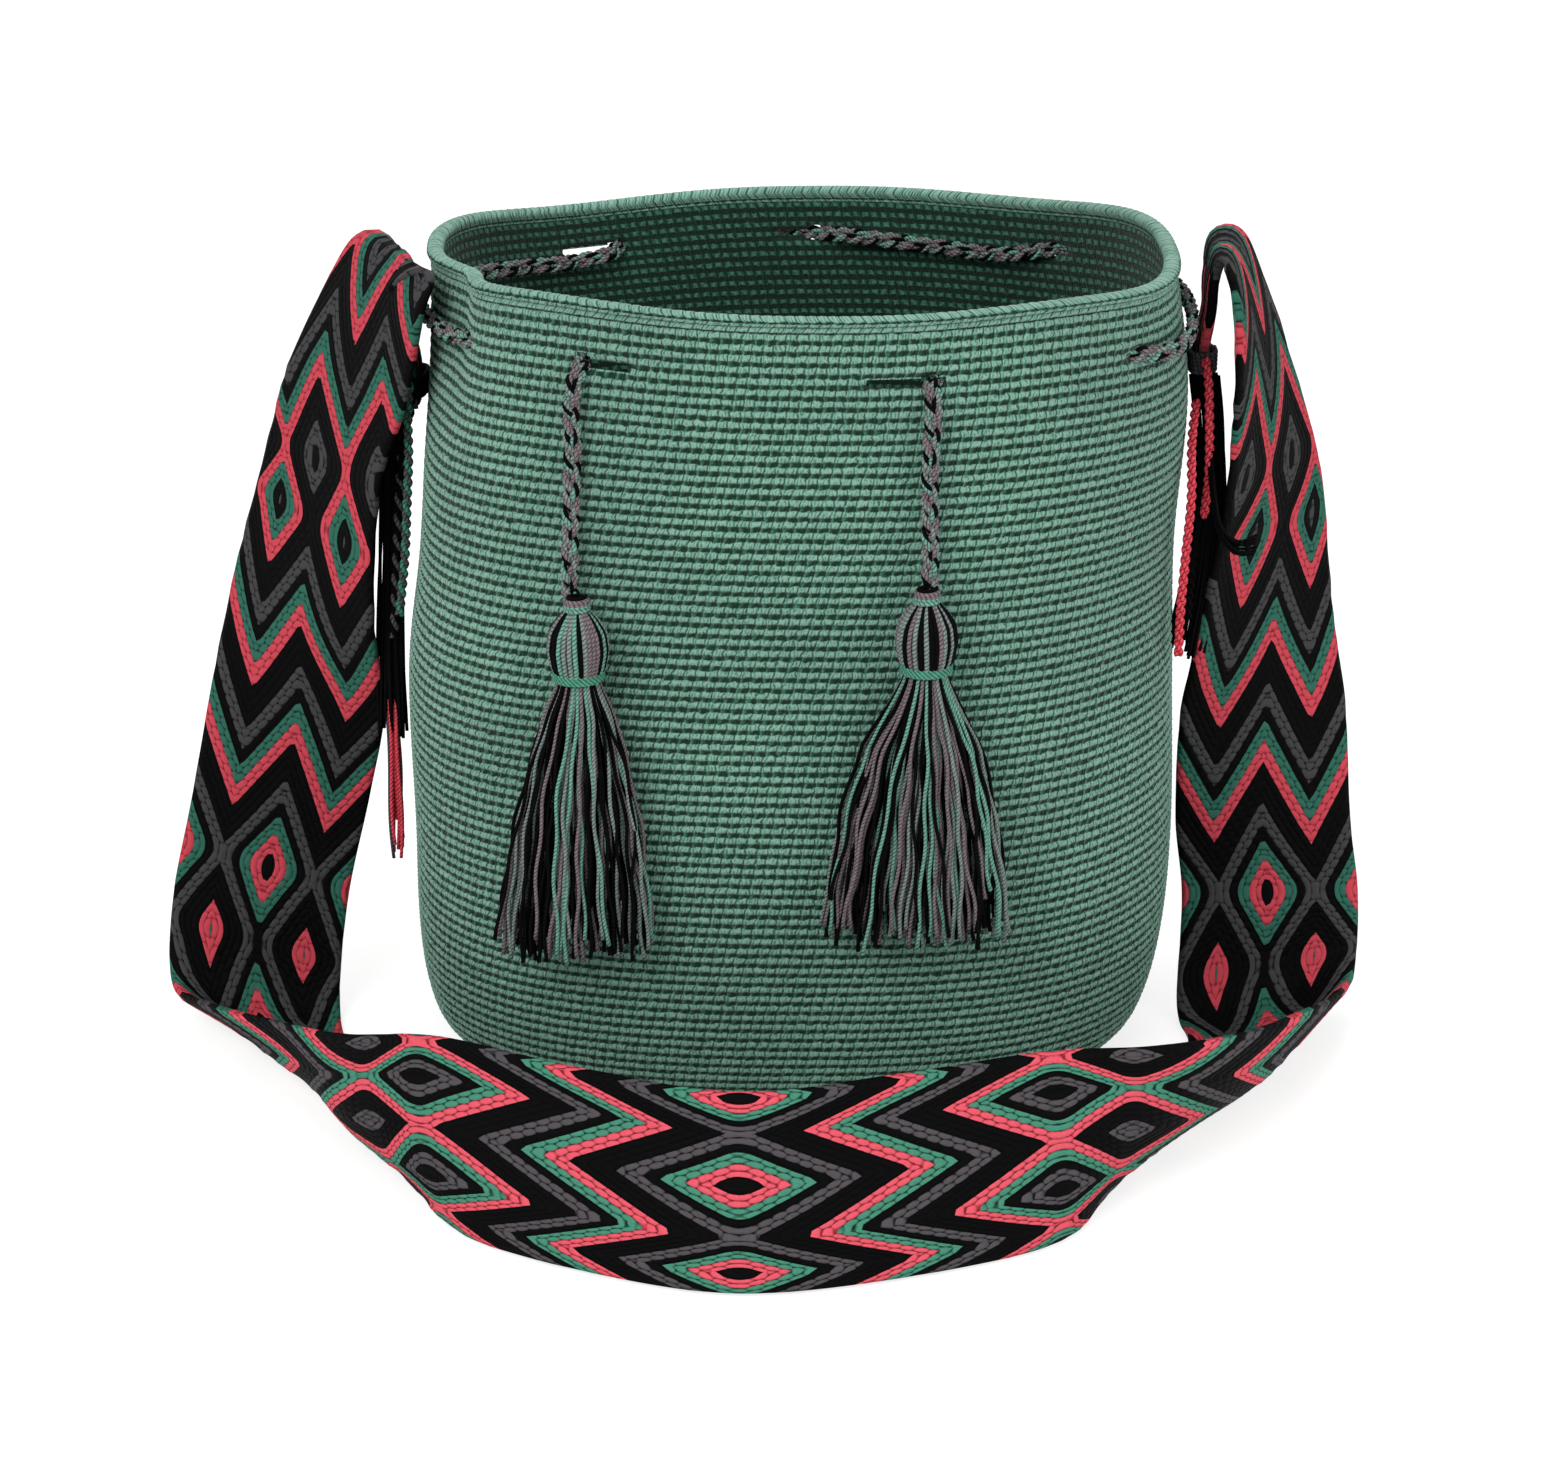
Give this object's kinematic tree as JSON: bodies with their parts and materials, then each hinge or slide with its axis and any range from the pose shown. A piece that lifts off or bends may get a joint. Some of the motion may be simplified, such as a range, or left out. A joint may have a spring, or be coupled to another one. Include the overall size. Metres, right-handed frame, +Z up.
{
  "type": "crocheted shoulder bag",
  "caption": "Soft crocheted bag that stands open, with a drawstring laced below its rim, tassels in front and a wide woven zigzag strap looped round it.",
  "frame": {"origin": "middle of the bag's flat base, on the surface it stands on", "axes": "+Z up, -Y towards the front with the tassels, +X to the right seen from the front"},
  "size_m": [0.4756, 0.338, 0.3118],
  "materials": {
    "crochet_green": "matte crocheted acrylic yarn",
    "strap_weave": "matte woven acrylic yarn in coral, green, charcoal and black",
    "cord_yarn": "twisted acrylic yarn in mauve grey, green and black",
    "tassel_yarn": "loose two-ply acrylic yarn",
    "binding_green": "wound acrylic yarn",
    "neck_yarn": "wound acrylic yarn",
    "lashing_black": "wound acrylic yarn",
    "end_green": "twisted acrylic yarn",
    "end_black": "twisted acrylic yarn",
    "end_coral": "twisted acrylic yarn"
  },
  "bodies": {
    "root": {"bag_body": "crochet_green", "drawstring": "cord_yarn", "left_tassel_neck": "neck_yarn", "right_tassel_neck": "neck_yarn", "left_tassel": "tassel_yarn", "right_tassel": "tassel_yarn", "left_tassel_binding": "binding_green", "right_tassel_binding": "binding_green", "shoulder_strap": "strap_weave", "left_strap_lashing": "lashing_black", "right_strap_lashing": "lashing_black", "left_green_end_cord": "end_green", "left_black_end_cord": "end_black", "right_coral_end_cord": "end_coral", "right_black_end_cord": "end_black", "right_long_coral_end_cord": "end_coral", "right_long_black_end_cord": "end_black", "left_fringe": "end_coral"}
  },
  "joints": []
}
